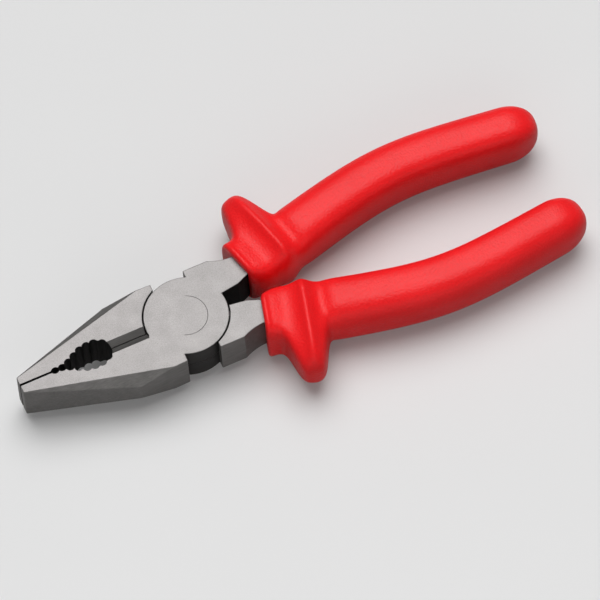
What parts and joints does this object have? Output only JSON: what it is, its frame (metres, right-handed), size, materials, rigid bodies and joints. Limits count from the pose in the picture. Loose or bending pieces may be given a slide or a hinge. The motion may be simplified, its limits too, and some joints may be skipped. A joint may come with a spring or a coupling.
{
  "type": "combination pliers",
  "caption": "Combination pliers with a riveted half-lap joint, flat jaws, a scalloped pipe grip, a side cutter and red moulded sleeves with finger guards.",
  "frame": {"origin": "on the pivot axis, at the flat underside of the head", "axes": "+X along the tool from the jaw tips to the handles, +Z along the pivot axis, out of the upper face"},
  "size_m": [0.18, 0.0648, 0.0212],
  "materials": {
    "ground_steel": "satin, finely ground",
    "red_sleeve": "satin, finely pebbled"
  },
  "bodies": {
    "upper_lever": {"lever_upper_lap": "ground_steel", "grip_far": "red_sleeve", "pivot_rivet": "ground_steel"},
    "lower_lever": {"lever_lower_lap": "ground_steel", "grip_near": "red_sleeve"}
  },
  "joints": [
    {"name": "pivot", "type": "hinge", "parent": "upper_lever", "child": "lower_lever", "pos_m": [0, 0, 0.0072], "axis": [0, 0, -1], "range_deg": [0, 38]}
  ]
}
